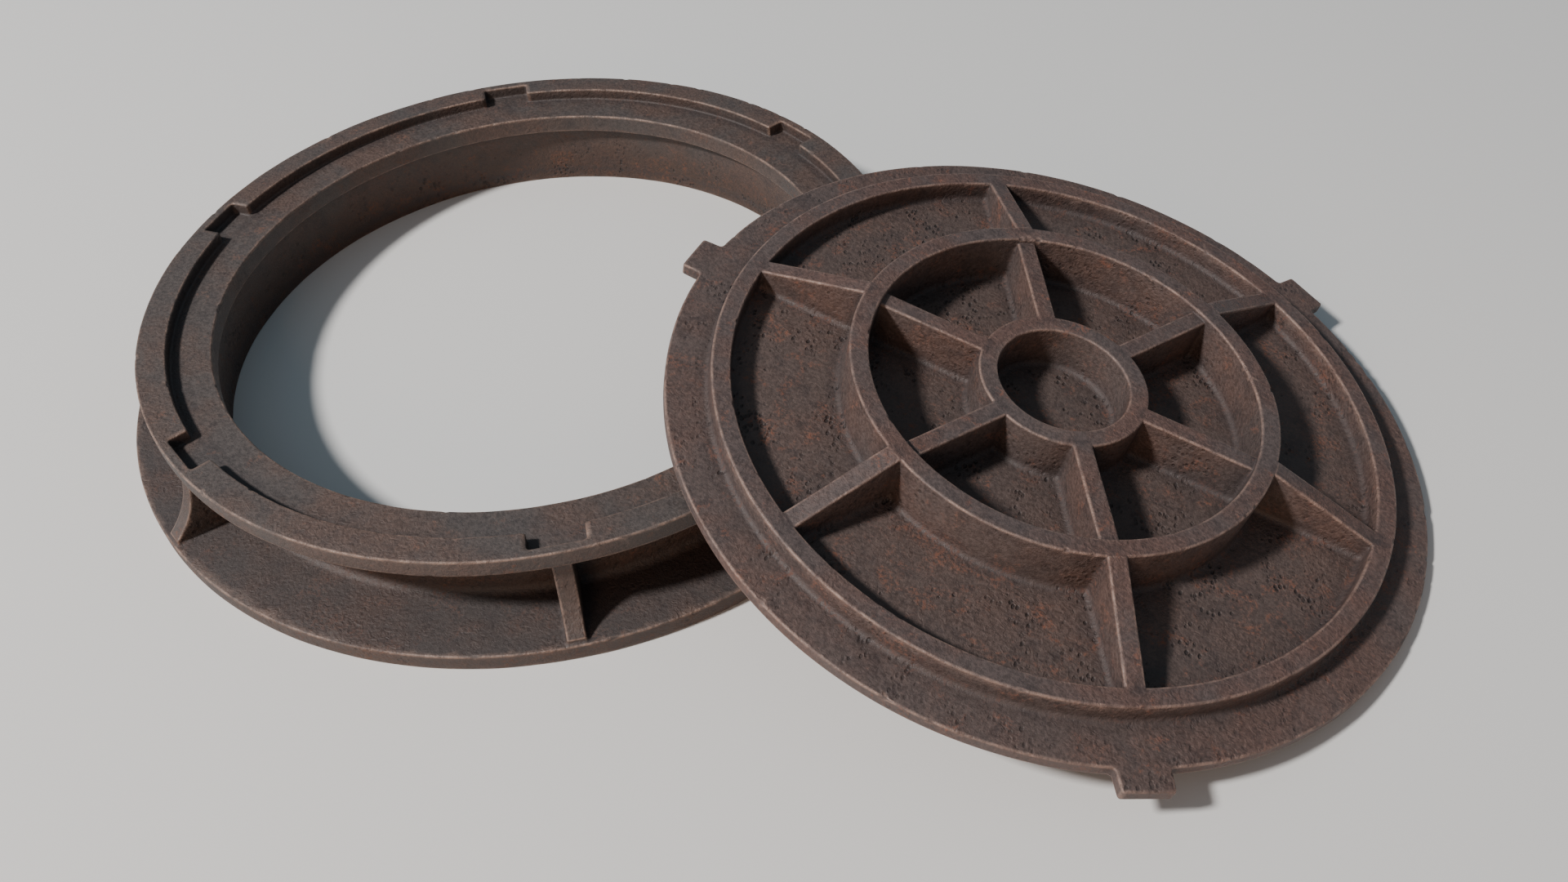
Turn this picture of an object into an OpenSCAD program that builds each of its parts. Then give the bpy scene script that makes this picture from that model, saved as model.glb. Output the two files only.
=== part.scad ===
// Round cast-iron manhole set, opened: a bedding frame, and beside it the cover,
// which lies upside down with one edge on the ground and its face on the kerb.
//
// Millimetres, +Z up. The origin is on the frame's axis, in the plane of its
// underside, and +X points from the frame to the cover.
//
// The frame is one casting and the cover is another. Each is drawn as the
// features that it was cast with, which meet face to face.

/* [Frame] */
// Diameter of the clear opening that a person climbs through
clear_d = 600; // [560:10:640]
// Height from the bedding face to the street
frame_h = 100; // [90:5:130]
// Width of the seat ledge that carries the cover
seat_w = 37.5; // [34:0.5:42]
// Width of the kerb around the cover
kerb_w = 27.5; // [24:0.5:32]
// Thickness of the kerb's outer edge
kerb_t = 18; // [15:1:22]
// How far the base flange stands out past the kerb
base_reach = 30; // [26:1:40]
// Thickness of the base flange
base_t = 17; // [12:1:20]
// Height of the lip under the seat's inner edge
lip_h = 20; // [16:1:22]
// How far the lip stands in past the neck wall
lip_w = 9; // [6:1:12]
// Thickness of the neck wall
neck_t = 18; // [12:1:20]

/* [Notches and gussets] */
// Width of each notch in the kerb, measured across it
notch_w = 47; // [40:1:56]
// Kerb left standing behind each notch
notch_web = 10; // [8:1:14]
// Direction of the first notch from +X, in degrees
notch_a = 4; // [0:1:59]
// Thickness of each gusset
gusset_t = 17; // [12:1:20]
// Radius of the hollow in each gusset's outer edge
scoop_r = 78; // [70:1:90]
// How far the gusset's top stops short of the kerb's outer edge
gusset_inset = 4; // [2:1:8]

/* [Cover] */
// Thickness of the flat plate
plate_t = 9; // [7:1:10]
// Gap around the plate when it is seated
cover_play = 3.5; // [2:0.5:5]
// Gap between the cover's outer ring and the clear opening
ring_play = 3; // [2:0.5:5]
// Thickness of the three ring ribs
ring_t = 17; // [13:1:20]
// Height of the outer ring
outer_ring_h = 20; // [16:1:26]
// Outer diameter of the middle ring
middle_ring_d = 371; // [330:1:400]
// Height of the middle ring
middle_ring_h = 47; // [38:1:56]
// Outer diameter of the hub ring
hub_d = 148; // [120:1:170]
// Height of the hub ring
hub_h = 42; // [36:1:46]
// Thickness of the radial ribs
spoke_t = 17; // [13:1:20]
// Direction of the first radial rib, in degrees
spoke_a = 56.5; // [0:0.5:59.5]
// Gap around each lug in its notch
lug_play = 1.5; // [1:0.5:3]
// How much narrower a lug is at its tip
lug_taper = 2.5; // [0:0.5:5]

/* [Tread] */
// Height of the raised tread on the street face
tread_h = 3; // [2:0.5:4]
// Width of the raised band around the street face
edge_band_w = 22; // [16:1:28]
// Width of the raised ring halfway in
tread_ring_w = 18; // [12:1:24]
// Diameter of the raised boss in the middle
boss_d = 120; // [100:2:130]
// Side of one tread block
block_w = 22; // [16:1:26]
// Number of rows of blocks inside the raised ring
inner_rows = 2; // [1:1:2]
// Number of rows of blocks outside the raised ring
outer_rows = 4; // [2:1:4]

/* [Resting place] */
// Distance from the middle of the cover's face to where the kerb touches it
rest_reach = 155; // [140:1:180]
// Gap left between the kerb and the cover's face
rest_gap = 0.3; // [0.2:0.1:1]

/* [Hidden] */

$fn = 180;
far = 1000;                 // longer than any feature
over = 1;                   // how far a cutter stands past what it cuts
bite = 10;                  // how far an outline reaches into its neighbour before it is trimmed
block_spacing = 1.75;       // tread blocks along a row, in block widths
iron_lit = "#6f625a";       // worn upper faces
iron = "#5c4c44";           // walls and ribs
iron_rusty = "#62483b";     // sheltered plate between the ribs

spacing_a = 60;             // angle between notches, gussets and radial ribs
seat_depth = plate_t + tread_h;
seat_z = frame_h - seat_depth;
lip_z = seat_z - lip_h;
kerb_z = frame_h - kerb_t;

clear_r = clear_d / 2;
recess_r = clear_r + seat_w;
kerb_r = recess_r + kerb_w;
base_r = kerb_r + base_reach;
neck_in_r = clear_r + lip_w;
neck_out_r = neck_in_r + neck_t;
notch_r = kerb_r - notch_web;
gusset_top_r = kerb_r - gusset_inset;

cover_r = recess_r - cover_play;
outer_ring_r = clear_r - ring_play;
middle_ring_r = middle_ring_d / 2;
hub_r = hub_d / 2;
lug_r = notch_r - 2 * lug_play;
lug_w = notch_w - 2 * lug_play;

// The cover leans on the kerb's outer edge, and its own edge is on the ground.
lean_a = asin((frame_h + rest_gap) / (cover_r + rest_reach));
cover_x = kerb_r + rest_reach * cos(lean_a);
cover_z = cover_r * sin(lean_a);

// A flat ring from r_in to r_out, standing on z and h high.
module ring(r_in, r_out, z, h) {
    translate([0, 0, z])
    difference() {
        cylinder(r = r_out, h = h);
        translate([0, 0, -over]) cylinder(r = r_in, h = h + 2 * over);
    }
}

// Puts a cover feature, drawn ribs up with the rib side of the plate on z = 0,
// where the cover lies.
module leaning() {
    translate([cover_x, 0, cover_z])
    rotate([0, lean_a, 0])
    translate([0, 0, seat_depth])
    children();
}

// ---- frame ----

module base_flange() {
    color(iron_lit) ring(neck_in_r, base_r, 0, base_t);
}

module neck_wall() {
    color(iron) ring(neck_in_r, neck_out_r, base_t, lip_z - base_t);
}

// The ledge, whose inner edge hangs down past the neck wall as a lip.
module seat_ring() {
    color(iron_lit) ring(clear_r, recess_r, lip_z, lip_h);
}

// The flat ring outside the ledge that the kerb stands on.
module kerb_flange() {
    color(iron_lit) ring(recess_r, kerb_r, kerb_z, seat_z - kerb_z);
}

module kerb_ring() {
    color(iron_lit)
    difference() {
        ring(recess_r, kerb_r, seat_z, seat_depth);
        for (i = [0 : 5])
            rotate([0, 0, notch_a + i * spacing_a])
            translate([recess_r - bite, -notch_w / 2, seat_z - over])
            cube([notch_r - recess_r + bite, notch_w, seat_depth + 2 * over]);
    }
}

// A radial bracket under a notch. Its outer edge is hollowed by an arc.
module gusset(i) {
    scoop_x = gusset_top_r + scoop_r;
    color(iron)
    rotate([0, 0, notch_a + (i - 1) * spacing_a])
    difference() {
        translate([0, -gusset_t / 2, base_t])
        cube([base_r - gusset_inset, gusset_t, kerb_z - base_t]);
        cylinder(r = neck_out_r, h = frame_h);
        translate([0, 0, lip_z]) cylinder(r = recess_r, h = frame_h);
        translate([scoop_x, 0, kerb_z]) rotate([90, 0, 0])
        cylinder(r = scoop_r, h = far, center = true);
    }
}

// ---- cover, ribs up ----

module cover_plate() {
    color(iron_rusty)
    leaning()
    translate([0, 0, -plate_t])
    cylinder(r = cover_r, h = plate_t);
}

module face_ring(r_in, r_out) {
    color(iron_lit) leaning() ring(r_in, r_out, -seat_depth, tread_h);
}

module edge_band() {
    face_ring(cover_r - edge_band_w, cover_r);
}

module tread_ring() {
    face_ring(rest_reach - tread_ring_w / 2, rest_reach + tread_ring_w / 2);
}

module tread_boss() {
    color(iron_lit)
    leaning()
    translate([0, 0, -seat_depth])
    cylinder(d = boss_d, h = tread_h);
}

// Rows of square blocks that share the width between two raised rings.
module block_rows(r_in, r_out, rows) {
    pitch = (r_out - r_in) / rows;
    for (k = [0 : rows - 1]) {
        row_r = r_in + (k + 0.5) * pitch;
        count = floor(2 * PI * row_r / (block_w * block_spacing));
        for (i = [0 : count - 1])
            rotate([0, 0, (i + 0.5 * (k % 2)) * 360 / count])
            translate([row_r - block_w / 2, -block_w / 2, -seat_depth])
            cube([block_w, block_w, tread_h]);
    }
}

module tread_blocks() {
    color(iron_lit)
    leaning() {
        block_rows(boss_d / 2, rest_reach - tread_ring_w / 2, inner_rows);
        block_rows(rest_reach + tread_ring_w / 2, cover_r - edge_band_w, outer_rows);
    }
}

module ring_rib(r_out, h) {
    color(iron) leaning() ring(r_out - ring_t, r_out, 0, h);
}

module outer_ring() {
    ring_rib(outer_ring_r, outer_ring_h);
}

module middle_ring() {
    ring_rib(middle_ring_r, middle_ring_h);
}

module hub_ring() {
    ring_rib(hub_r, hub_h);
}

// A radial rib between two rings, whose top runs straight from h_in to h_out.
module spoke(i, r_in, r_out, h_in, h_out) {
    color(iron)
    leaning()
    rotate([0, 0, spoke_a + (i - 1) * spacing_a])
    difference() {
        intersection() {
            cylinder(r = r_out, h = far);
            rotate([90, 0, 0])
            linear_extrude(height = spoke_t, center = true)
            polygon([
                [0, 0],
                [r_out, 0],
                [r_out, h_out],
                [r_in, h_in],
                [0, h_in],
            ]);
        }
        translate([0, 0, -over]) cylinder(r = r_in, h = far);
    }
}

module inner_spoke(i) {
    spoke(i, hub_r, middle_ring_r - ring_t, hub_h, hub_h);
}

module outer_spoke(i) {
    spoke(i, middle_ring_r, outer_ring_r - ring_t, middle_ring_h, outer_ring_h);
}

// A lug at the plate's edge, in line with every other radial rib.
module lug(i) {
    tip_w = lug_w - lug_taper;
    color(iron_lit)
    leaning()
    rotate([0, 0, spoke_a + (i - 1) * 2 * spacing_a])
    translate([0, 0, -seat_depth])
    difference() {
        linear_extrude(height = seat_depth)
        polygon([
            [cover_r - bite, -lug_w / 2], [lug_r, -tip_w / 2],
            [lug_r, tip_w / 2], [cover_r - bite, lug_w / 2],
        ]);
        translate([0, 0, -over]) cylinder(r = cover_r, h = seat_depth + 2 * over);
    }
}

base_flange();
neck_wall();
seat_ring();
kerb_flange();
kerb_ring();
gusset(1);  // gusset_1
gusset(2);  // gusset_2
gusset(3);  // gusset_3
gusset(4);  // gusset_4
gusset(5);  // gusset_5
gusset(6);  // gusset_6
cover_plate();
edge_band();
tread_ring();
tread_boss();
tread_blocks();
outer_ring();
middle_ring();
hub_ring();
outer_spoke(1);  // outer_spoke_1
outer_spoke(2);  // outer_spoke_2
outer_spoke(3);  // outer_spoke_3
outer_spoke(4);  // outer_spoke_4
outer_spoke(5);  // outer_spoke_5
outer_spoke(6);  // outer_spoke_6
inner_spoke(1);  // inner_spoke_1
inner_spoke(2);  // inner_spoke_2
inner_spoke(3);  // inner_spoke_3
inner_spoke(4);  // inner_spoke_4
inner_spoke(5);  // inner_spoke_5
inner_spoke(6);  // inner_spoke_6
lug(1);  // lug_1
lug(2);  // lug_2
lug(3);  // lug_3
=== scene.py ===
"""Looks of a round cast-iron manhole set: the bedding frame, and beside it the cover, upside down.

Each casting is meshed as one skin from a distance field, so that rings, ribs, gussets and flanges run
into one another with the fillets and rounded edges of a sand casting. Every size is read from the
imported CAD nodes. Lengths are in millimetres up to the point where a mesh is made, which is in metres.
"""

import math
from types import SimpleNamespace

import bpy
import numpy as np
from mathutils import Matrix, Vector


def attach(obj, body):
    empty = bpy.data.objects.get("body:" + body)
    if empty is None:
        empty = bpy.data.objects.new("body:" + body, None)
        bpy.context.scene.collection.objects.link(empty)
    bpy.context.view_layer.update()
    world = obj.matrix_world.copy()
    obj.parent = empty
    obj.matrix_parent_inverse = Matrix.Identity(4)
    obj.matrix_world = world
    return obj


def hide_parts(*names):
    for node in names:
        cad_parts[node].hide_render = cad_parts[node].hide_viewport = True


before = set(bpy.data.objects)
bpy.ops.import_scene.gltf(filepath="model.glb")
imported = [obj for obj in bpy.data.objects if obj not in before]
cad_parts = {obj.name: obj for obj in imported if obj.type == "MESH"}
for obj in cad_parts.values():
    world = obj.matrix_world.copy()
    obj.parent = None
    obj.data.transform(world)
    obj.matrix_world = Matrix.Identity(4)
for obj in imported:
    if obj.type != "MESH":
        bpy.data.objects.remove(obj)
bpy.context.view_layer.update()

MM = 1000.0
SECTORS = 6                 # notches, gussets and radial ribs all come in sixes
LUGS = 3

EDGE = 1.9                  # rounding of outside edges
CORNER_PLAN = 2.6           # rounding of corners seen in plan
FLOOR_FILLET = 5.0          # between the cover's ribs and its plate
FLANGE_FILLET = 8.0         # between the frame's neck and its base flange
LIP_FILLET = 4.0            # between the neck and the seat
GUSSET_FILLET = 3.4
RIB_CORNER = 3.2            # in the upright corners between ribs
KERB_FILLET = 1.6
RECESS_EDGE = 1.0           # rounding of the recesses in the street face

# Where a fillet begins and where it is whole.
LEAST_FILLET = 0.01         # what is left of it where it has faded out
BORE_FADE = (6.0, 14.0)     # out from the bore, between neck and flange
SEAT_FADE = (2.0, 5.0)      # down from the seat, under the kerb
RIM_FADE = (4.0, 8.0)       # in from the kerb's outer side, on the seat
RIB_FADE = (2.0, 8.0)       # down from a rib's top, between ribs

# How far a feature reaches into the one that it grows from.
BITE = 8.0                  # ribs and gussets; also how far the neck stops below the seat
KERB_ROOT = 4.0
GUSSET_TOP = 2.0
LUG_ROOT = 30.0
HIDDEN = 1.0                # ribs, down into the plate

WAVE = 0.22                 # half the depth of the casting's unevenness
WAVES = 14
WAVELENGTH = (35, 160)
CHIP_RADIUS = (3.5, 9.0)
CHIP_DEPTH = (0.4, 1.3)
CHIP_SPREAD = 3.1           # the largest angle of a chip either way, just short of half a turn
CHIP_REACH = 1.2            # how much wider than a chip its search is

SNAP = 0.1                  # CAD vertices this near a line count as on it
UPWARD = 0.9                # CAD faces that lean up at least this much are the plate's ribbed side
TINY = 1e-9


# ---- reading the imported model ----

class Place:
    """A casting's own origin and axes in the row frame."""

    def __init__(self, origin, axes):
        self.origin = np.asarray(origin, float)
        self.axes = np.asarray(axes, float)

    def local(self, points):
        return (points - self.origin) @ self.axes.T

    def world(self, points):
        return points @ self.axes + self.origin

    def turned(self, vectors):
        return vectors @ self.axes


def node_points(node, place=None):
    """A CAD node's vertices, in the row frame or in a casting's own."""
    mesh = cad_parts[node].data
    points = np.empty(len(mesh.vertices) * 3, np.float32)
    mesh.vertices.foreach_get("co", points)
    points = points.reshape(-1, 3).astype(float) * MM
    return points if place is None else place.local(points)


def fit_circle(u, v):
    """Centre and radius of the circle through points, by least squares."""
    terms = np.column_stack((2 * u, 2 * v, np.ones(len(u))))
    (cu, cv, rest), *_ = np.linalg.lstsq(terms, u * u + v * v, rcond=None)
    return cu, cv, math.sqrt(rest + cu * cu + cv * cv)


def reach(points):
    return np.hypot(points[:, 0], points[:, 1])


def heading(points):
    """Direction of a radial feature, from its outermost corners."""
    rough = math.atan2(points[:, 1].mean(), points[:, 0].mean())
    far = reach(points)
    tips = points[far > far.max() - SNAP]
    off = np.arctan2(tips[:, 1], tips[:, 0]) - rough
    off = (off + math.pi) % (2 * math.pi) - math.pi
    return rough + (off.min() + off.max()) / 2


def turned_back(points, angle):
    """Points turned so that a feature at angle lies along +X."""
    c, s = math.cos(angle), math.sin(angle)
    return points @ np.array([[c, -s, 0], [s, c, 0], [0, 0, 1]])


def cover_place():
    """The cover's own frame: on its axis, in the plate's ribbed side, ribs up."""
    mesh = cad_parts["cover_plate"].data
    up = Vector((0, 0, 0))
    for face in mesh.polygons:
        if face.normal.z > UPWARD:
            up += face.normal * face.area
    up = np.array(up.normalized())
    x = np.array([1.0, 0, 0]) - up[0] * up
    x /= np.linalg.norm(x)
    axes = np.array([x, np.cross(up, x), up])
    points = node_points("cover_plate") @ axes.T
    cu, cv, _ = fit_circle(points[:, 0], points[:, 1])
    return Place(np.array([cu, cv, points[:, 2].max()]) @ axes, axes)


def frame_sizes():
    flange, seat, step, kerb = (
        node_points(n) for n in ("base_flange", "seat_ring", "kerb_flange", "kerb_ring")
    )
    s = SimpleNamespace()
    s.neck_in, s.base = reach(flange).min(), reach(flange).max()
    s.base_z = flange[:, 2].max()
    s.neck_out = reach(node_points("neck_wall")).max()
    s.clear, s.kerb = reach(seat).min(), reach(step).max()
    s.lip_z, s.seat_z = seat[:, 2].min(), seat[:, 2].max()
    s.kerb_z = step[:, 2].min()
    s.recess, s.top = reach(kerb).min(), kerb[:, 2].max()
    gusset = node_points("gusset_1")
    s.heading = heading(gusset)
    gusset = turned_back(gusset, s.heading)
    s.gusset_half = gusset[:, 1].max()
    s.gusset_reach = gusset[:, 0].max()

    # The hollow's own vertices lie clear of the gusset's foot, top and back.
    foot, top, back = s.base_z + 5, s.kerb_z - 1, s.recess + 5
    hollow = gusset[(gusset[:, 2] > foot) & (gusset[:, 2] < top) & (gusset[:, 0] > back)]
    s.scoop_x, s.scoop_z, s.scoop_r = fit_circle(hollow[:, 0], hollow[:, 2])
    kerb = turned_back(kerb, s.heading)
    kerb = kerb[kerb[:, 0] > 0]
    s.notch_half = np.abs(kerb[reach(kerb) < s.recess + SNAP][:, 1]).min()
    on_side = np.abs(np.abs(kerb[:, 1]) - s.notch_half) < SNAP
    s.notch_x = kerb[on_side & (kerb[:, 0] > s.recess + SNAP)][:, 0].min()
    return s


def cover_sizes(place):
    s = SimpleNamespace()
    s.plate = reach(node_points("cover_plate", place)).max()
    s.web_z = node_points("cover_plate", place)[:, 2].min()
    s.street_z = node_points("edge_band", place)[:, 2].min()
    s.rings = []
    for node in ("hub_ring", "middle_ring", "outer_ring"):
        points = node_points(node, place)
        s.rings.append((reach(points).min(), reach(points).max(), points[:, 2].max()))
    boss, band = (reach(node_points(n, place)) for n in ("tread_boss", "edge_band"))
    halfway = reach(node_points("tread_ring", place))
    s.recesses = [(boss.max(), halfway.min()), (halfway.max(), band.min())]
    spoke = node_points("outer_spoke_1", place)
    s.heading = heading(spoke)
    s.spoke_half = turned_back(spoke, s.heading)[:, 1].max()
    lug = node_points("lug_1", place)
    s.lug_heading = heading(lug)
    lug = turned_back(lug, s.lug_heading)
    s.lug_x = lug[:, 0].max()
    s.lug_tip = lug[lug[:, 0] > s.lug_x - SNAP][:, 1].max()
    root = lug[lug[:, 1].argmax()]
    s.lug_flare = (root[1] - s.lug_tip) / (s.lug_x - root[0])
    return s


# ---- distance fields: negative inside the iron ----

def rounded(u, v, edge):
    """A form whose two pairs of sides are u and v away, with its corners rounded."""
    u, v = u + edge, v + edge
    outside = np.hypot(np.maximum(u, 0), np.maximum(v, 0))
    return outside + np.minimum(np.maximum(u, v), 0) - edge


def filleted(a, b, radius):
    """Two forms joined, with a fillet in the corner between them."""
    corner = np.hypot(np.maximum(radius - a, 0), np.maximum(radius - b, 0))
    return np.maximum(radius, np.minimum(a, b)) - corner


def fading(a, b, radius, share):
    """Two forms joined, with a fillet that is only partly there."""
    return filleted(a, b, LEAST_FILLET + radius * share)


def trimmed(a, b, radius):
    """What two forms share, with the edge between them rounded."""
    edge = np.hypot(np.maximum(radius + a, 0), np.maximum(radius + b, 0))
    return np.minimum(-radius, np.maximum(a, b)) + edge


def band(value, low, high):
    """How far value is outside the band from low to high."""
    return np.abs(value - (low + high) / 2) - (high - low) / 2


def fade(value, start, end):
    """0 before start, 1 past end, and smooth in between."""
    t = np.clip((value - start) / (end - start), 0, 1)
    return t * t * (3 - 2 * t)


def folded(r, angle, first, count):
    """Along and across the nearest of count directions, the first at angle first."""
    step = 2 * math.pi / count
    near = (angle - first + step / 2) % step - step / 2
    return r * np.cos(near), r * np.sin(near)


def frame_field(points, s):
    x, y, z = points[:, 0], points[:, 1], points[:, 2]
    r = np.hypot(x, y)
    along, across = folded(r, np.arctan2(y, x), s.heading, SECTORS)
    across = np.abs(across)

    flange = rounded(band(r, s.neck_in, s.base), band(z, 0, s.base_z), EDGE)
    neck = rounded(band(r, s.neck_in, s.neck_out), band(z, FLANGE_FILLET, s.seat_z - BITE), EDGE)
    seat = rounded(band(r, s.clear, s.recess), band(z, s.lip_z, s.seat_z), EDGE)
    root = rounded(band(r, s.neck_out, s.kerb), band(z, s.kerb_z, s.seat_z + EDGE), EDGE)
    root = np.maximum(root, z - s.seat_z)
    body = fading(flange, neck, FLANGE_FILLET, fade(r - s.neck_in, *BORE_FADE))
    body = filleted(body, seat, LIP_FILLET)
    body = fading(body, root, KERB_FILLET, fade(s.seat_z - z, *SEAT_FADE))

    hollow = s.scoop_r - np.hypot(along - s.scoop_x, z - s.scoop_z)
    outer = np.maximum(along - s.gusset_reach, hollow)
    ends = np.maximum(s.neck_out - BITE - along, band(z, s.base_z - BITE / 2, s.kerb_z + GUSSET_TOP))
    gusset = rounded(across - s.gusset_half, np.maximum(outer, ends), EDGE)
    body = filleted(body, gusset, GUSSET_FILLET)

    kerb = rounded(band(r, s.recess, s.kerb), band(z, s.seat_z - KERB_ROOT, s.top), EDGE)
    notch = rounded(across - s.notch_half, along - s.notch_x, CORNER_PLAN)
    kerb = trimmed(kerb, -notch, EDGE)
    begins, whole = RIM_FADE
    return fading(body, kerb, KERB_FILLET, 1 - fade(r - s.kerb, -whole, -begins))


def cover_field(points, s):
    x, y, z = points[:, 0], points[:, 1], points[:, 2]
    r, angle = np.hypot(x, y), np.arctan2(y, x)

    along, across = folded(r, angle, s.lug_heading, LUGS)
    half = s.lug_tip + s.lug_flare * (s.lug_x - along)
    lug = rounded(np.abs(across) - half, along - s.lug_x, CORNER_PLAN)
    lug = np.maximum(lug, s.plate - LUG_ROOT - along)
    plan = filleted(r - s.plate, lug, CORNER_PLAN)
    plate = rounded(plan, band(z, s.street_z, 0), EDGE)
    for inner, outer in s.recesses:
        recess = rounded(band(r, inner, outer), z - s.web_z, RECESS_EDGE)
        plate = trimmed(plate, -recess, RECESS_EDGE)

    along, across = folded(r, angle, s.heading, SECTORS)
    side = np.abs(across) - s.spoke_half
    hub, middle, rim = s.rings
    rings = None
    for inner, outer, top in s.rings:
        ring = rounded(band(r, inner, outer), band(z, -HIDDEN, top), EDGE)
        rings = ring if rings is None else np.minimum(rings, ring)

    flat = z - hub[2]
    inner_spoke = np.maximum(rounded(side, flat, EDGE), band(along, hub[1] - BITE, middle[0] + BITE))
    slope = (middle[2] - rim[2]) / (rim[0] - middle[1])
    height = np.clip(middle[2] - slope * (along - middle[1]), rim[2], middle[2])
    slant = (z - height) / math.hypot(1, slope)
    outer_spoke = np.maximum(rounded(side, slant, EDGE), band(along, middle[1] - BITE, rim[0] + BITE))
    below_top = np.where(along < (middle[0] + middle[1]) / 2, -flat, -slant)
    spokes = np.maximum(np.minimum(inner_spoke, outer_spoke), -HIDDEN - z)
    ribs = fading(rings, spokes, RIB_CORNER, fade(below_top, *RIB_FADE))
    return filleted(plate, ribs, FLOOR_FILLET)


class Wear:
    """Unevenness of a sand casting, and small chips along its edges. Both only take iron away."""

    def __init__(self, seed, edges, chips):
        rng = np.random.default_rng(seed)
        ways = rng.normal(size=(WAVES, 3))
        ways /= np.linalg.norm(ways, axis=1)[:, None]
        self.waves = ways * (2 * math.pi / rng.uniform(*WAVELENGTH, WAVES))[:, None]
        self.phase = rng.uniform(0, 2 * math.pi, WAVES)
        pick = rng.integers(0, len(edges), chips)
        r, z, out_r, out_z = np.array(edges, float)[pick].T
        self.radius = rng.uniform(*CHIP_RADIUS, chips)
        rounding = EDGE * (math.sqrt(2) - 1)
        self.lift = self.radius - rounding - rng.uniform(*CHIP_DEPTH, chips)
        self.turn = rng.uniform(-CHIP_SPREAD, CHIP_SPREAD, chips)
        ring = r + out_r * self.lift
        x, y = ring * np.cos(self.turn), ring * np.sin(self.turn)
        self.centre = np.column_stack((x, y, z + out_z * self.lift))

    def spare_joins(self, plain):
        """Drops the chips where the edge runs into another feature and iron fills the corner."""
        kept = plain(self.centre) > self.lift
        self.centre = self.centre[kept]
        self.radius = self.radius[kept]
        self.turn = self.turn[kept]

    def __call__(self, points, distance):
        wave = np.sin(points @ self.waves.T + self.phase).sum(1) / (WAVES / 2)
        distance = distance + WAVE * (1 + np.clip(wave, -1, 1))
        turn = np.arctan2(points[:, 1], points[:, 0])
        order = np.argsort(turn)
        turn = turn[order]
        for centre, radius, at in zip(self.centre, self.radius, self.turn):
            width = radius / math.hypot(centre[0], centre[1]) * CHIP_REACH
            first, last = np.searchsorted(turn, (at - width, at + width))
            near = order[first:last]
            gap = radius - np.linalg.norm(points[near] - centre, axis=1)
            distance[near] = np.maximum(distance[near], gap)
        return distance


# ---- grids and skins ----

CLOSEST = 0.45              # grid lines nearer than this share of the finest spacing become one


def graded(levels, margin, fine, grow, coarse):
    """Grid lines that crowd round each level and spread out between them."""
    lines = [levels[0] - margin, levels[0] - fine / 2, levels[-1] + fine / 2, levels[-1] + margin]
    for low, high in zip(levels, levels[1:]):
        offset, offsets = fine / 2, []
        while offset < (high - low) / 2:
            offsets.append(offset)
            offset += min(coarse, fine + grow * offset)
        lines += [low + o for o in offsets] + [high - o for o in offsets]
        if high - low - 2 * offsets[-1] > coarse:
            lines.append((low + high) / 2)
    lines = sorted(lines)
    kept = [lines[0]]
    for line in lines[1:]:
        if line - kept[-1] > fine * CLOSEST:
            kept.append(line)
    return np.array(kept)


def columns(radii, offsets, between, first, least):
    """The angle of each column at each radius; near a radial feature it keeps its offset from it."""
    step = 2 * math.pi / SECTORS
    near = np.arcsin(offsets[None, :] / np.maximum(radii, least)[:, None])
    start, end = near[:, -1:], step + near[:, :1]
    gap = start + (end - start) * (np.arange(between) + 1) / (between + 1)
    sector = np.hstack((near, gap))
    return np.hstack([first + i * step + sector for i in range(SECTORS)])


def grid_points(radii, angles, levels):
    """Grid points by radius, column and level; levels may differ with the radius."""
    points = np.empty(angles.shape + (levels.shape[1], 3), np.float32)
    points[..., 0] = (radii[:, None] * np.cos(angles))[:, :, None]
    points[..., 1] = (radii[:, None] * np.sin(angles))[:, :, None]
    points[..., 2] = levels[:, None, :]
    return points


CORNERS = [(i, j, k) for i in (0, 1) for j in (0, 1) for k in (0, 1)]
RINGS = {
    0: [(0, -1, -1), (0, 0, -1), (0, 0, 0), (0, -1, 0)],
    1: [(-1, 0, -1), (-1, 0, 0), (0, 0, 0), (0, 0, -1)],
    2: [(-1, -1, 0), (0, -1, 0), (0, 0, 0), (-1, 0, 0)],
}


def net_vertices(points, values, cells):
    """One vertex in each cell that the surface passes through, amid its crossings of the cell's edges."""
    around = values.shape[1]
    at = [(cells[:, 0] + i, (cells[:, 1] + j) % around, cells[:, 2] + k) for i, j, k in CORNERS]
    value = np.stack([values[c] for c in at], 1)
    point = np.stack([points[c] for c in at], 1)
    total, count = np.zeros((len(cells), 3)), np.zeros(len(cells))
    for a in range(8):
        for bit in (1, 2, 4):
            b = a | bit
            if b == a:
                continue
            crosses = (value[:, a] < 0) != (value[:, b] < 0)
            share = value[crosses, a] / (value[crosses, a] - value[crosses, b])
            total[crosses] += point[crosses, a] + share[:, None] * (point[crosses, b] - point[crosses, a])
            count[crosses] += 1
    return total / count[:, None]


def net_faces(inside, ids):
    """One quad across each grid edge that the surface crosses, facing outwards."""
    radii, around, levels = inside.shape
    faces = []
    for axis, ring in RINGS.items():
        ahead = np.roll(inside, -1, axis)
        i, j, k = np.nonzero(inside != ahead)
        keep = (i < radii - 1) & (k < levels - 1)
        keep &= (i > 0) | (axis == 0)
        keep &= (k > 0) | (axis == 2)
        i, j, k = i[keep], j[keep], k[keep]
        quads = np.stack([ids[i + di, (j + dj) % around, k + dk] for di, dj, dk in ring], 1)
        inward = ~inside[i, j, k]
        quads[inward] = quads[inward, ::-1]
        faces.append(quads)
    return np.concatenate(faces)


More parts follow.
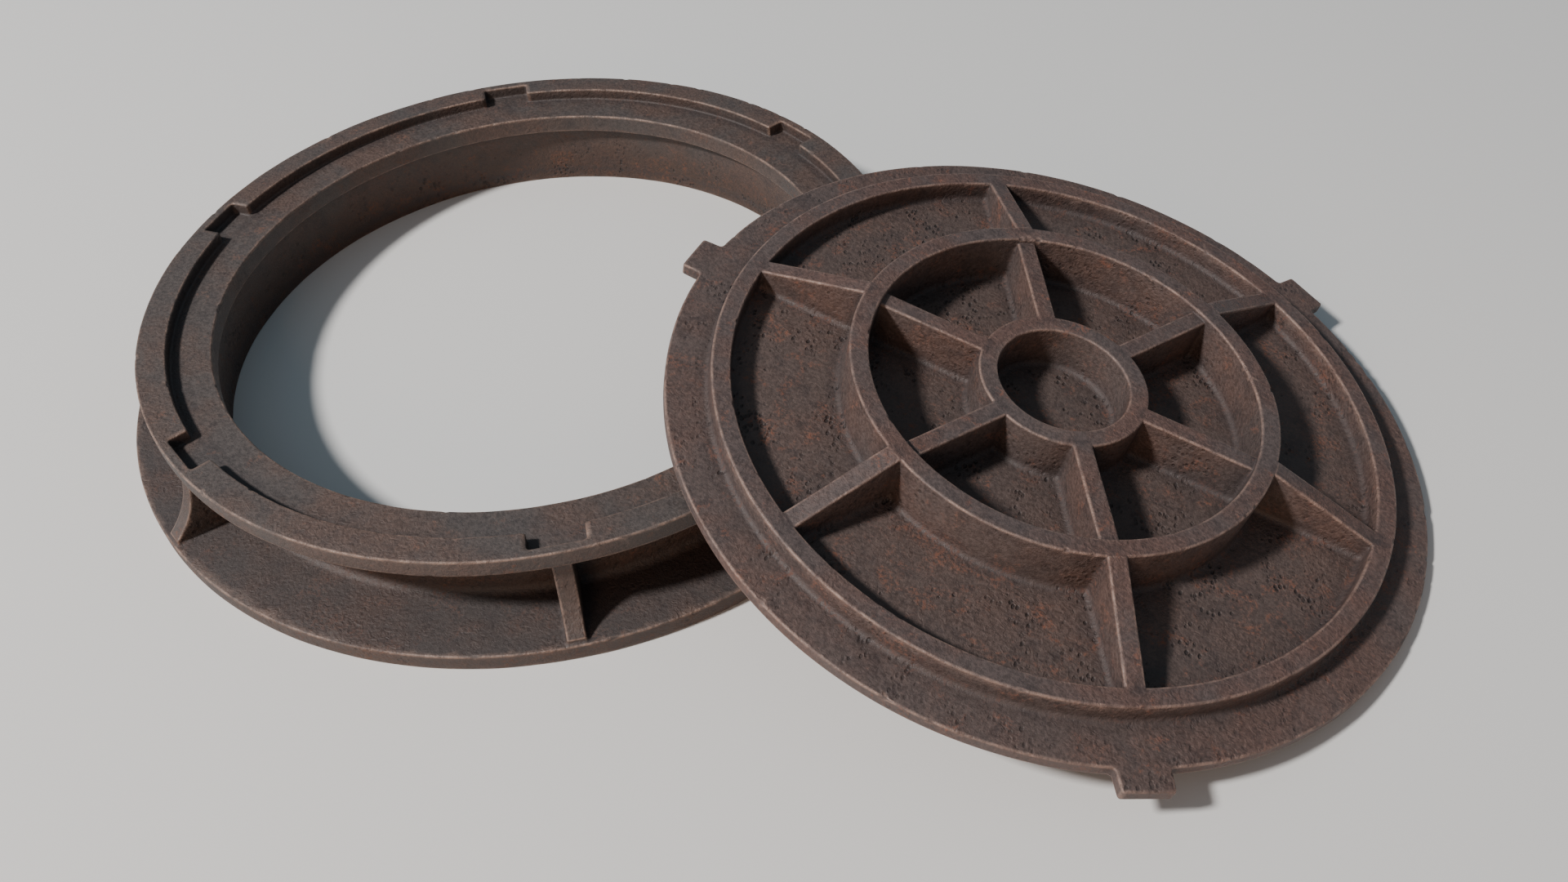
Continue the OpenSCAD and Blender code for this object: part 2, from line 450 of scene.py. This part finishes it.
def pole_fans(inside, ids, vertices):
    """Closes the skin on the axis with a fan at each level where the surface crosses it."""
    centres, fans = [], []
    axis = inside[0, 0]
    for k in np.nonzero(axis[:-1] != axis[1:])[0]:
        ring = ids[0, :, k]
        centre = np.full(len(ring), len(vertices) + len(centres))
        centres.append(vertices[ring].mean(0))
        fan = np.stack([centre, ring, np.roll(ring, -1)], 1)
        fans.append(fan if axis[k] else fan[:, ::-1])
    return centres, fans


def skin(points, field):
    """Vertices and faces of the surface where field is nothing."""
    values = field(points.reshape(-1, 3)).reshape(points.shape[:3]).astype(np.float32)
    inside = values < 0
    wrapped = np.concatenate((inside, inside[:, :1]), 1)
    shape = (points.shape[0] - 1, points.shape[1], points.shape[2] - 1)
    filled = np.zeros(shape, np.int8)
    for i, j, k in CORNERS:
        filled += wrapped[i:i + shape[0], j:j + shape[1], k:k + shape[2]]
    cells = np.argwhere((filled > 0) & (filled < 8))
    ids = np.full(shape, -1)
    ids[tuple(cells.T)] = np.arange(len(cells))
    vertices = net_vertices(points, values, cells)
    faces = net_faces(inside, ids).tolist()
    if points[0, 0, 0, 0] == points[0, 1, 0, 0] == 0:
        centres, fans = pole_fans(inside, ids, vertices)
        vertices = np.vstack([vertices, *centres])
        for fan in fans:
            faces += fan.tolist()
    return vertices, faces


def slopes(points, field, step):
    """The field's gradient, and how sharply the surface bends: above 0 on outside edges."""
    axes = 3
    gradient, bend = np.empty_like(points), -2 * axes * field(points)
    for axis in range(axes):
        offset = np.zeros(axes)
        offset[axis] = step
        ahead, behind = field(points + offset), field(points - offset)
        gradient[:, axis] = (ahead - behind) / (2 * step)
        bend += ahead + behind
    return gradient, bend / step ** 2


TETRAHEDRON = np.array([(1, 1, 1), (1, -1, -1), (-1, 1, -1), (-1, -1, 1)], float)
PROBE = 0.15                # step of the gradient that points settle along
LEAST_SLOPE = 0.25          # the least square of the gradient that a move is divided by
LONGEST_MOVE = 2.0
SETTLE_ROUNDS = 2


def settled(points, field):
    """Points moved onto the surface."""
    for _ in range(SETTLE_ROUNDS):
        gradient = sum(way * field(points + way * PROBE)[:, None] for way in TETRAHEDRON) / (4 * PROBE)
        size = np.maximum((gradient ** 2).sum(1), LEAST_SLOPE)
        move = (field(points) / size)[:, None] * gradient
        length = np.linalg.norm(move, axis=1)
        points = points - move * np.minimum(1, LONGEST_MOVE / np.maximum(length, TINY))[:, None]
    return points


def thinned(vertices, faces, most):
    """The same skin with about so many triangles, fewest where it is flat."""
    mesh = bpy.data.meshes.new("draft")
    mesh.from_pydata(vertices.tolist(), [], faces)
    triangles = sum(len(face) - 2 for face in faces)
    draft = bpy.data.objects.new("draft", mesh)
    bpy.context.scene.collection.objects.link(draft)
    thin = draft.modifiers.new("thin", "DECIMATE")
    thin.ratio = min(1.0, most / triangles)
    graph = bpy.context.evaluated_depsgraph_get()
    result = bpy.data.meshes.new_from_object(draft.evaluated_get(graph))
    bpy.data.objects.remove(draft)
    bpy.data.meshes.remove(mesh)
    return result


EDGE_STEP = 0.9             # how closely the skin's bend is measured for the pale edges, worn and painted highlight both
FULL_BEND = 0.42            # the bend at which an edge is fully pale
CORNER_STEP = 3.0           # the same for the painted shade in inside corners
FULL_DIP = 0.15
DEPTH = 15.0                # how near a wall shades the skin


def dress(mesh, field, place, shade_and_shelter):
    """Settles a thinned skin on its surface, puts it in its place and stores what its material needs."""
    points = np.empty(len(mesh.vertices) * 3, np.float32)
    mesh.vertices.foreach_get("co", points)
    points = settled(points.reshape(-1, 3).astype(float), field)
    gradient, bend = slopes(points, field, EDGE_STEP)
    normal = gradient / np.maximum(np.linalg.norm(gradient, axis=1), TINY)[:, None]
    _, dip = slopes(points, field, CORNER_STEP)
    # painted shade: the skin near a wall and in inside corners is marked to be darkened
    walled = 1 - np.clip(field(points + normal * DEPTH) / DEPTH, 0, 1)
    corner = np.clip(-dip / FULL_DIP, 0, 1)
    shade_and_shelter_mark, flange_darkening = shade_and_shelter(points, normal)
    marks = {
        # the pale edge mark: worn edges, which also paint a highlight along every outside edge
        "worn": np.clip(bend / FULL_BEND, 0, 1),
        # hollow: painted shade near walls and in inside corners, with the darker base flange's top
        "hollow": np.maximum.reduce((walled, corner, flange_darkening)),
        "shade_and_shelter": shade_and_shelter_mark,
    }
    mesh.vertices.foreach_set("co", (place.world(points) / MM).astype(np.float32).ravel())
    for name, value in marks.items():
        attribute = mesh.attributes.new(name, "FLOAT", "POINT")
        attribute.data.foreach_set("value", value.astype(np.float32))
    mesh.update()
    mesh.shade_smooth()
    mesh.normals_split_custom_set_from_vertices(place.turned(normal).tolist())
    return mesh


MOST_TRIANGLES = 180000


def casting(name, grid, plain, wear, place, shade_and_shelter):
    """A casting's piece: its plain field meshed as one skin, worn, thinned and dressed."""
    wear.spare_joins(plain)

    def field(points):
        return wear(points, plain(points))

    vertices, faces = skin(grid, plain)
    vertices = settled(vertices, field)
    mesh = thinned(vertices, faces, MOST_TRIANGLES)
    piece = bpy.data.objects.new(name, dress(mesh, field, place, shade_and_shelter))
    mesh.name = name
    bpy.context.scene.collection.objects.link(piece)
    return piece


# ---- the two castings ----

def frame_grid(s):
    radii = graded(
        [s.clear, s.neck_in, s.neck_out, s.recess, s.notch_x, s.kerb, s.gusset_reach, s.base],
        margin=1.6, fine=1.0, grow=0.3, coarse=3.2,
    )
    levels = graded(
        [0, s.base_z, s.lip_z, s.kerb_z, s.seat_z, s.top],
        margin=1.6, fine=1.0, grow=0.3, coarse=3.2,
    )
    offsets = graded(
        [-s.notch_half, -s.gusset_half, s.gusset_half, s.notch_half],
        margin=9.0, fine=1.1, grow=0.3, coarse=4.0,
    )
    angles = columns(radii, offsets, between=72, first=s.heading, least=s.clear)
    return grid_points(radii, angles, np.tile(levels, (len(radii), 1)))


def cover_grid(s):
    hub, middle, rim = s.rings
    (boss, ring_in), (ring_out, edge_in) = s.recesses
    corners = sorted([*hub[:2], *middle[:2], *rim[:2], ring_in, ring_out, edge_in, s.plate, s.lug_x])
    radii = graded(corners, margin=1.6, fine=1.0, grow=0.4, coarse=8.0)
    in_hub = np.array([0, 14.0, 26.0, 36.0, 44.0, 50.0])
    beside_boss = [boss - 0.4, boss + 0.6]
    radii = np.sort(np.concatenate((in_hub[in_hub < radii[0] - 1], radii, beside_boss)))
    levels = graded(
        [s.street_z, s.web_z, 0, hub[2], middle[2]],
        margin=1.6, fine=1.0, grow=0.35, coarse=5.0,
    )
    lug_side = s.lug_tip + 0.6
    offsets = graded(
        [-lug_side, -s.spoke_half, s.spoke_half, lug_side],
        margin=5.0, fine=1.1, grow=0.35, coarse=4.5,
    )
    angles = columns(radii, offsets, between=64, first=s.heading, least=hub[1] + 1)

    # The upper levels follow the outer radial ribs' tops down to the outer ring.
    keel = 10.0
    fall = np.interp(radii, [middle[1], rim[0]], [middle[2], rim[2]])
    share = (fall - keel) / (middle[2] - keel)
    heights = np.where(levels > keel, keel + (levels - keel) * share[:, None], levels)
    return grid_points(radii, angles, heights)


UPRIGHT = (0.3, 0.7)        # how far a wall may lean before it stops counting as one, and is none
LEVEL = (0.5, 0.9)          # the lean at which the base flange's top begins to be darkened, and is darkened fully
UNDER_KERB = 0.6            # painted shade on the walls under the kerb
FLANGE_DARKENING = 0.85         # how much darker the base flange's top is made
RIB_WALL = 0.45             # the warmer sheltered tint on the cover's upright walls, a painted tone of the warm light on them
BRIM_LOSS = 0.55            # how much less sheltered the brim is than the plate within it


def frame_shade_and_shelter(s):
    """How much sheltered tint the frame's skin gets, which is painted shade inside its neck and under its
    kerb, and how much darker its base flange's top is made.
    """
    def shade_and_shelter(points, normal):
        r, z, lean = reach(points), points[:, 2], normal[:, 2]
        # painted shade down the inside of the neck
        bore = fade(-r, -s.neck_out + 4, -s.neck_in - 2) * fade(-z, -s.lip_z, -s.base_z)
        under = fade(r, s.neck_out - 4, s.neck_out) * fade(-z, -s.kerb_z, -s.kerb_z + 12)
        upright = 1 - fade(np.abs(lean), *UPRIGHT)
        # the base flange's top is made darker
        on_flange = fade(-z, -s.base_z - 6, -s.base_z - 1) * fade(lean, *LEVEL)
        return np.clip(bore + UNDER_KERB * under * upright, 0, 1), FLANGE_DARKENING * on_flange

    return shade_and_shelter


def cover_shade_and_shelter(s):
    """How much sheltered tint the cover's skin gets, on its floors and, as a painted tone of the warm
    light, on its walls; nothing extra darkens it.
    """
    def shade_and_shelter(points, normal):
        r, z, lean = reach(points), points[:, 2], normal[:, 2]
        floor = (1 - fade(z, 2, 14)) * fade(lean, 0.2, 0.8)
        walls = RIB_WALL * (1 - fade(np.abs(lean), 0.1, 0.5))
        outside = s.rings[2][1]
        brim = 1 - BRIM_LOSS * fade(r, outside, outside + 12)
        return np.clip(floor + walls, 0, 1) * brim, np.zeros(len(points))

    return shade_and_shelter


FRAME_NODES = ["base_flange", "neck_wall", "seat_ring", "kerb_flange", "kerb_ring"]
FRAME_NODES += [f"gusset_{i + 1}" for i in range(SECTORS)]
COVER_NODES = ["cover_plate", "edge_band", "tread_ring", "tread_boss"]
COVER_NODES += ["outer_ring", "middle_ring", "hub_ring"]
COVER_NODES += [f"{kind}_spoke_{i + 1}" for kind in ("outer", "inner") for i in range(SECTORS)]
COVER_NODES += [f"lug_{i + 1}" for i in range(LUGS)]


def frame_casting():
    s = frame_sizes()
    out = 1 / math.sqrt(2)
    edges = [
        (s.kerb, s.top, out, out), (s.kerb, s.top, out, out), (s.recess, s.top, -out, out),
        (s.clear, s.seat_z, -out, out), (s.base, s.base_z, out, out), (s.kerb, s.kerb_z, out, -out),
    ]
    piece = casting(
        "frame_casting", frame_grid(s), lambda p: frame_field(p, s), Wear(seed=11, edges=edges, chips=95),
        Place((0, 0, 0), np.eye(3)), frame_shade_and_shelter(s),
    )
    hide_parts(*FRAME_NODES)
    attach(piece, "frame")
    return piece


def cover_casting(place):
    s = cover_sizes(place)
    out = 1 / math.sqrt(2)
    edges = [(s.plate, 0, out, out)] * 3
    for inner, outer, top in s.rings[1:]:
        edges += [(inner, top, -out, out), (outer, top, out, out)]
    piece = casting(
        "cover_casting", cover_grid(s), lambda p: cover_field(p, s), Wear(seed=23, edges=edges, chips=110),
        place, cover_shade_and_shelter(s),
    )
    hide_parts(*COVER_NODES)
    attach(piece, "cover")
    return piece


# ---- tread blocks ----

def block_places(place):
    """The middle of each block in tread_blocks and half a block's width, in the cover's frame."""
    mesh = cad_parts["tread_blocks"].data
    points = node_points("tread_blocks", place)
    places, same = np.unique(np.round(points, 1), axis=0, return_inverse=True)
    same = same.ravel()
    label = np.arange(len(places))
    faces = np.array([same[list(face.vertices)[:3]] for face in mesh.polygons])
    while True:
        least = label[faces].min(1)
        before = label.copy()
        for corner in range(3):
            np.minimum.at(label, faces[:, corner], least)
        if (label == before).all():
            break
    blocks = [places[label == one] for one in np.unique(label)]
    middles = [(block[:, 0].mean(), block[:, 1].mean()) for block in blocks]
    mx, my = middles[0]
    half = turned_back(blocks[0] - (mx, my, 0), math.atan2(my, mx))[:, 1].max()
    return middles, half


def block_outline(half, corner, steps=4):
    """A square with rounded corners, as points."""
    flat = half - corner
    outline = []
    for quarter in range(4):
        sx = 1 if quarter in (0, 3) else -1
        sy = 1 if quarter in (0, 1) else -1
        for i in range(steps + 1):
            a = (quarter + i / steps) * math.pi / 2
            outline.append((sx * flat + corner * math.cos(a), sy * flat + corner * math.sin(a)))
    return outline


BLOCK_FOOT = 0.95           # how far a block's sides stand in from the CAD block's, for its foot
BLOCK_CORNER = 2.2          # rounding of a block's corners in plan
CORNER_GROWTH = 0.5         # how much that rounding grows for each millimetre of spread


def block_rings(high):
    """A block's outlines from its foot to its top: how far each spreads, how high it is, and how pale its
    edge is, worn and painted highlight both.
    """
    foot = [(0.9, -0.6, 0.0), (0.75, 0.05, 0.0), (0.25, 0.45, 0.0), (0.0, 1.0, 0.1)]
    crown = [(-0.05, high - 0.9, 0.3), (-0.3, high - 0.3, 0.8), (-0.9, high - 0.02, 0.7), (-2.4, high, 0.0)]
    return foot + crown


def tread_blocks(place, s):
    """Raised blocks with a foot that spreads into the web and a rounded top."""
    rings = block_rings(s.web_z - s.street_z)
    middles, half = block_places(place)
    vertices, faces, worn = [], [], []
    for mx, my in middles:
        turn = math.atan2(my, mx)
        cos, sin = math.cos(turn), math.sin(turn)
        start = len(vertices)
        for grow, rise, wear in rings:
            outline = block_outline(half + grow - BLOCK_FOOT, BLOCK_CORNER + CORNER_GROWTH * grow)
            level = s.web_z - rise
            vertices += [(mx + u * cos - v * sin, my + u * sin + v * cos, level) for u, v in outline]
            worn += [wear] * len(outline)
        count = len(outline)
        for ring in range(len(rings) - 1):
            for i in range(count):
                a, b = start + ring * count + i, start + ring * count + (i + 1) % count
                faces.append((a, a + count, b + count, b))
        faces.append([start + (len(rings) - 1) * count + i for i in reversed(range(count))])
        faces.append([start + i for i in range(count)])

    mesh = bpy.data.meshes.new("tread_blocks_cast")
    mesh.from_pydata((place.world(np.array(vertices)) / MM).tolist(), [], faces)
    attribute = mesh.attributes.new("worn", "FLOAT", "POINT")
    attribute.data.foreach_set("value", worn)
    mesh.shade_smooth()
    piece = bpy.data.objects.new("tread_blocks_cast", mesh)
    bpy.context.scene.collection.objects.link(piece)
    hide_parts("tread_blocks")
    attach(piece, "cover")
    return piece


# ---- materials ----

def add(tree, kind, inputs=None, **settings):
    """A node with its settings, whose inputs are values or other nodes' outputs."""
    made = tree.nodes.new(kind)
    for name, value in settings.items():
        setattr(made, name, value)
    for name, value in (inputs or {}).items():
        if isinstance(value, bpy.types.NodeSocket):
            tree.links.new(value, made.inputs[name])
        else:
            made.inputs[name].default_value = value
    return made


def noise(tree, where, scale, detail, roughness=0.55, distortion=0.0):
    inputs = {
        "Vector": where, "Scale": scale, "Detail": detail,
        "Roughness": roughness, "Distortion": distortion,
    }
    return add(tree, "ShaderNodeTexNoise", inputs).outputs[0]


def between(tree, value, low, high, to_low=0.0, to_high=1.0):
    inputs = {"Value": value, "From Min": low, "From Max": high, "To Min": to_low, "To Max": to_high}
    return add(tree, "ShaderNodeMapRange", inputs, interpolation_type="SMOOTHSTEP").outputs[0]


def maths(tree, operation, a, b=0.0):
    return add(tree, "ShaderNodeMath", {0: a, 1: b}, operation=operation).outputs[0]


def times(tree, *values):
    product = values[0]
    for value in values[1:]:
        product = maths(tree, "MULTIPLY", product, value)
    return product


def blended(tree, factor, a, b, blend="MIX"):
    inputs = {0: factor, 6: a, 7: b}
    return add(tree, "ShaderNodeMix", inputs, data_type="RGBA", blend_type=blend).outputs[2]


def mark(tree, name):
    return add(tree, "ShaderNodeAttribute", attribute_name=name).outputs["Fac"]


def colour(red, green, blue):
    """A linear colour from its display values out of 255."""
    def linear(v):
        v /= 255
        return v / 12.92 if v <= 0.04045 else ((v + 0.055) / 1.055) ** 2.4
    return (linear(red), linear(green), linear(blue), 1.0)


def pits(tree, where, cluster):
    """Small elongated pits, crowded in patches."""
    squash = (1.0, 0.62, 0.8)
    bent = add(tree, "ShaderNodeVectorMath", {0: where, 1: squash}, operation="MULTIPLY").outputs[0]
    cells = add(tree, "ShaderNodeTexVoronoi", {"Vector": bent, "Scale": 230.0, "Randomness": 1.0})
    spots = between(tree, cells.outputs["Distance"], 0.20, 0.46, 1.0, 0.0)
    patch = between(tree, noise(tree, where, 26.0, 5.0, 0.65, 0.5), 0.49, 0.62)
    return times(tree, spots, patch, cluster)


# How strongly each layer colours the iron, and how deep each lies in its relief.
# The shelter layer is partly painted shade, the hollow layer is painted shade, and the edge layer is also a
# painted highlight.
TONE = SimpleNamespace(shade_and_shelter=0.7, cloud=0.42, mottle=0.85, rust=0.52, hollow=0.52, pit=0.68, edge=0.5)
RELIEF = SimpleNamespace(peel=1.5, fine=0.8, grain=0.28, pit=1.2, strength=0.8, distance=0.001)
GLOSS = SimpleNamespace(least=0.50, most=0.74, rust=0.16, edge=0.14, metallic=0.12, specular=0.5)
LEAN_TO_SHELTER = 0.05      # how much likelier rust is in sheltered places
LEAN_TO_HOLLOW = 0.03       # and in hollows
PITS_EVERYWHERE = 0.2       # pits on open faces, against 1 in sheltered places


def cast_iron(name, tints):
    """Weathered sand-cast iron: mottled skin, rust in sheltered places, pits, painted shade in sheltered
    places and hollows, and pale worn edges that are also a painted highlight.
    """
    material = bpy.data.materials.new(name)
    material.use_nodes = True
    tree = material.node_tree
    tree.nodes.clear()
    where = add(tree, "ShaderNodeTexCoord").outputs["Object"]
    worn, hollow, shade_and_shelter = (mark(tree, kind) for kind in ("worn", "hollow", "shade_and_shelter"))

    broad = noise(tree, where, 11.0, 6.0, 0.6, 0.3)
    cloud = noise(tree, where, 60.0, 6.0, 0.68, 0.2)
    fine = noise(tree, where, 300.0, 5.0, 0.7)
    grain = noise(tree, where, 1150.0, 3.0, 0.6)

    tone = blended(tree, between(tree, broad, 0.38, 0.62), tints["cool"], tints["warm"])
    # the sheltered tint: painted shade inside the frame's neck and under its kerb, a painted tone of warm
    # light on the cover's walls, and the browner skin of sheltered floors
    tone = blended(tree, times(tree, shade_and_shelter, TONE.shade_and_shelter), tone, tints["floor"])
    dark = between(tree, cloud, 0.48, 0.66)
    tone = blended(tree, times(tree, dark, TONE.cloud), tone, tints["dark"])
    mottle = between(tree, fine, 0.36, 0.64, 0.75, 1.22)
    mottle_rgb = add(tree, "ShaderNodeCombineColor", {0: mottle, 1: mottle, 2: mottle}).outputs[0]
    tone = blended(tree, TONE.mottle, tone, mottle_rgb, "MULTIPLY")

    lean = noise(tree, where, 40.0, 7.0, 0.7, 0.5)
    lean = maths(tree, "ADD", lean, times(tree, shade_and_shelter, LEAN_TO_SHELTER))
    lean = maths(tree, "ADD", lean, times(tree, hollow, LEAN_TO_HOLLOW))
    rust = times(tree, between(tree, lean, 0.55, 0.70), between(tree, fine, 0.43, 0.65))
    tone = blended(tree, times(tree, rust, TONE.rust), tone, tints["rust"])
    # painted shade: the dark tint laid near walls and in inside corners, and on the base flange's top
    tone = blended(tree, times(tree, hollow, TONE.hollow), tone, tints["dark"])

    cluster = maths(tree, "ADD", times(tree, shade_and_shelter, 1 - PITS_EVERYWHERE), PITS_EVERYWHERE)
    holes = pits(tree, where, cluster)
    tone = blended(tree, times(tree, holes, TONE.pit), tone, tints["pit"])

    # pale worn edges, which also paint a highlight along every outside edge
    rubbed = between(tree, noise(tree, where, 60.0, 7.0, 0.72), 0.38, 0.64, 0.12, 1.0)
    edge = times(tree, worn, rubbed)
    tone = blended(tree, times(tree, edge, TONE.edge), tone, tints["worn"])

    peel = noise(tree, where, 170.0, 3.0, 0.5, 1.2)
    peel = times(tree, peel, between(tree, broad, 0.42, 0.58, 0.35, 1.0))
    height = maths(tree, "ADD", times(tree, peel, RELIEF.peel), times(tree, fine, RELIEF.fine))
    height = maths(tree, "ADD", height, times(tree, grain, RELIEF.grain))
    height = maths(tree, "SUBTRACT", height, times(tree, holes, RELIEF.pit))
    bump = add(tree, "ShaderNodeBump", {
        "Height": height, "Strength": RELIEF.strength, "Distance": RELIEF.distance,
    })

    rough = between(tree, fine, 0.3, 0.7, GLOSS.least, GLOSS.most)
    rough = maths(tree, "ADD", rough, times(tree, rust, GLOSS.rust))
    rough = maths(tree, "SUBTRACT", rough, times(tree, edge, GLOSS.edge))
    shader = add(tree, "ShaderNodeBsdfPrincipled", {
        "Base Color": tone, "Roughness": rough, "Metallic": GLOSS.metallic, "Normal": bump.outputs[0],
        "Specular IOR Level": GLOSS.specular,
    })
    add(tree, "ShaderNodeOutputMaterial", {"Surface": shader.outputs[0]})
    return material


# the floor tint is the sheltered tint, darker on the frame where it paints shade; the dark tint serves the
# cloudy mottling and the painted shade; the pale edge tint is worn iron and a painted highlight
FRAME_TINTS = {
    "cool": colour(69, 63, 61), "warm": colour(78, 63, 57), "floor": colour(60, 42, 33),
    "dark": colour(48, 43, 44), "rust": colour(116, 74, 53), "pit": colour(28, 25, 27),
    "worn": colour(158, 131, 116),
}
COVER_TINTS = {
    "cool": colour(80, 70, 68), "warm": colour(89, 69, 63), "floor": colour(82, 69, 64),
    "dark": colour(50, 44, 45), "rust": colour(136, 78, 50), "pit": colour(26, 23, 25),
    "worn": colour(158, 131, 118),
}


# ---- studio ----

def floor():
    far = 30.0
    corners = [(-far, -far, 0), (far, -far, 0), (far, far, 0), (-far, far, 0)]
    mesh = bpy.data.meshes.new("floor")
    mesh.from_pydata(corners, [], [(0, 1, 2, 3)])
    plane = bpy.data.objects.new("floor", mesh)
    bpy.context.scene.collection.objects.link(plane)
    material = bpy.data.materials.new("pale_floor")
    material.use_nodes = True
    shader = material.node_tree.nodes["Principled BSDF"]
    shader.inputs["Base Color"].default_value = (0.62, 0.62, 0.61, 1)
    shader.inputs["Roughness"].default_value = 0.85
    mesh.materials.append(material)


def area_light(name, place, target, size, power, tint):
    data = bpy.data.lights.new(name, "AREA")
    data.shape = "DISK"
    data.size = size
    data.energy = power
    data.color = tint
    lamp = bpy.data.objects.new(name, data)
    lamp.location = place
    lamp.rotation_euler = (Vector(target) - Vector(place)).to_track_quat("-Z", "Y").to_euler()
    bpy.context.scene.collection.objects.link(lamp)


def studio():
    middle = (0.35, 0.0, 0.05)
    area_light("key", (-3.51, -3.86, 5.90), middle, size=0.98, power=960, tint=(1.0, 0.96, 0.93))
    area_light("fill", (0.9, -3.2, 1.1), middle, size=1.6, power=33, tint=(1.0, 0.62, 0.38))
    world = bpy.data.worlds.new("studio")
    bpy.context.scene.world = world
    world.use_nodes = True
    sky = world.node_tree.nodes["Background"]
    sky.inputs["Color"].default_value = (0.70, 0.86, 1.0, 1)
    sky.inputs["Strength"].default_value = 0.25


def camera():
    data = bpy.data.cameras.new("camera")
    data.lens = 29.88
    eye = bpy.data.objects.new("camera", data)
    pan, tilt, roll = math.radians(24.54), math.radians(44.64), math.radians(-3.39)
    turn = Matrix.Rotation(pan, 4, "Z") @ Matrix.Rotation(tilt, 4, "X") @ Matrix.Rotation(roll, 4, "Z")
    eye.matrix_world = Matrix.Translation((0.6418, -0.8255, 0.8747)) @ turn
    bpy.context.scene.collection.objects.link(eye)
    bpy.context.scene.camera = eye


def build():
    place = cover_place()
    rim_piece = frame_casting()
    lid = cover_casting(place)
    blocks = tread_blocks(place, cover_sizes(place))
    rim_piece.data.materials.append(cast_iron("frame_iron", FRAME_TINTS))
    cover_iron = cast_iron("cover_iron", COVER_TINTS)
    lid.data.materials.append(cover_iron)
    blocks.data.materials.append(cover_iron)


build()
floor()
studio()
camera()
